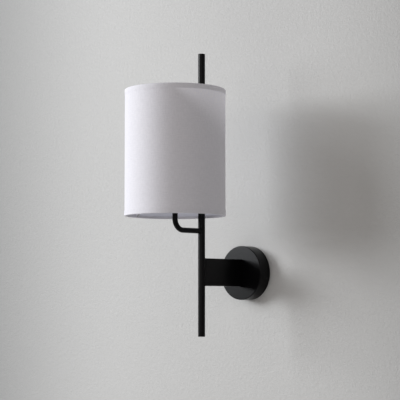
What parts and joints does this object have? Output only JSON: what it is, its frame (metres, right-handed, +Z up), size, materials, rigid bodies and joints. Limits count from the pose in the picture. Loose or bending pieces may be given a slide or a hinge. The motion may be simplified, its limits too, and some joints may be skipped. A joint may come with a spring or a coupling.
{
  "type": "fabric shade wall light",
  "caption": "Wall light with a round canopy, flat box bar, tall round stem, bent arm with a screw lampholder and lamp, and a white fabric drum shade that lifts off.",
  "frame": {"origin": "centre of the wall bracket's two fixing slots, on the wall plane, behind the middle of the round canopy", "axes": "+Z up along the stem, -Y out from the wall into the room, +X to the right seen from the room"},
  "size_m": [0.18, 0.287, 0.513],
  "materials": {
    "black_metal": "satin black powder coat",
    "black_screw": "black oxide",
    "zinc_steel": "zinc plated",
    "brass": "plain",
    "earth_insulation": "green with yellow stripe",
    "live_insulation": "brown",
    "neutral_insulation": "blue",
    "block_plastic": "natural polyamide",
    "grommet_rubber": "matt",
    "holder_plastic": "moulded black",
    "holder_ceramic": "white glaze",
    "solder": "dull",
    "lamp_black_glass": "vitrified",
    "lamp_cap_metal": "nickel plated",
    "lamp_glass": "satin opal",
    "lamp_mount_glass": "white",
    "filament": "phosphor",
    "lamp_wire": "plain",
    "shade_fabric": "white woven cotton",
    "shade_liner": "white styrene",
    "white_metal": "white powder coat"
  },
  "bodies": {
    "wall_frame": {"canopy": "black_metal", "canopy_screws": "black_screw", "wall_bracket": "zinc_steel", "terminal_block": "block_plastic", "terminal_inserts": "brass", "terminal_screws": "zinc_steel", "earth_screw": "brass", "earth_tags": "brass", "earth_lead": "earth_insulation", "wire_grommet": "grommet_rubber", "bar_screws": "zinc_steel", "bar_washers": "zinc_steel", "bar_end_block": "zinc_steel", "box_bar": "black_metal", "stem": "black_metal", "stem_top_plug": "black_metal", "stem_bottom_plug": "black_metal", "arm": "black_metal", "arm_coupling": "black_metal", "lock_nut": "zinc_steel", "holder_nipple": "zinc_steel", "holder_cap": "holder_plastic", "holder_core": "holder_ceramic", "holder_terminal_screws": "brass", "screw_shell": "brass", "centre_contact": "brass", "holder_skirt": "holder_plastic", "live_lead": "live_insulation", "neutral_lead": "neutral_insulation"},
    "shade": {"shade_fabric": "shade_fabric", "shade_liner": "shade_liner", "shade_bottom_wire": "white_metal", "shade_top_wire": "white_metal", "shade_top_hem": "shade_fabric", "shade_bottom_hem": "shade_fabric", "shade_seam": "shade_fabric", "spider_hub": "white_metal", "spider_arms": "white_metal"},
    "shade_ring": {"shade_ring": "holder_plastic"},
    "lamp_tip": {"lamp_tip": "solder", "lamp_insulator": "lamp_black_glass"},
    "lamp": {"lamp_cap": "lamp_cap_metal", "lamp_glass": "lamp_glass", "lamp_mount": "lamp_mount_glass", "lamp_filaments": "filament", "lamp_support": "lamp_wire"}
  },
  "joints": [
    {"name": "shade_lift", "type": "slide", "parent": "wall_frame", "child": "shade", "axis": [0, 0, 1], "range_m": [0, 0.305]},
    {"name": "shade_ring_turn", "type": "hinge", "parent": "shade", "child": "shade_ring", "pos_m": [0, -0.197, 0.155], "axis": [0, 0, 1], "range_deg": [0, 900]},
    {"name": "lamp_rise", "type": "slide", "parent": "wall_frame", "child": "lamp_tip", "axis": [0, 0, 1], "range_m": [0, 0.01462]},
    {"name": "lamp_turn", "type": "hinge", "parent": "lamp_tip", "child": "lamp", "pos_m": [0, -0.197, 0.16], "axis": [0, 0, 1], "range_deg": [0, 1440]}
  ],
  "couplings": [
    {"joint": "lamp_rise", "follows": "lamp_turn", "m_per_rad": 0.00057757}
  ]
}
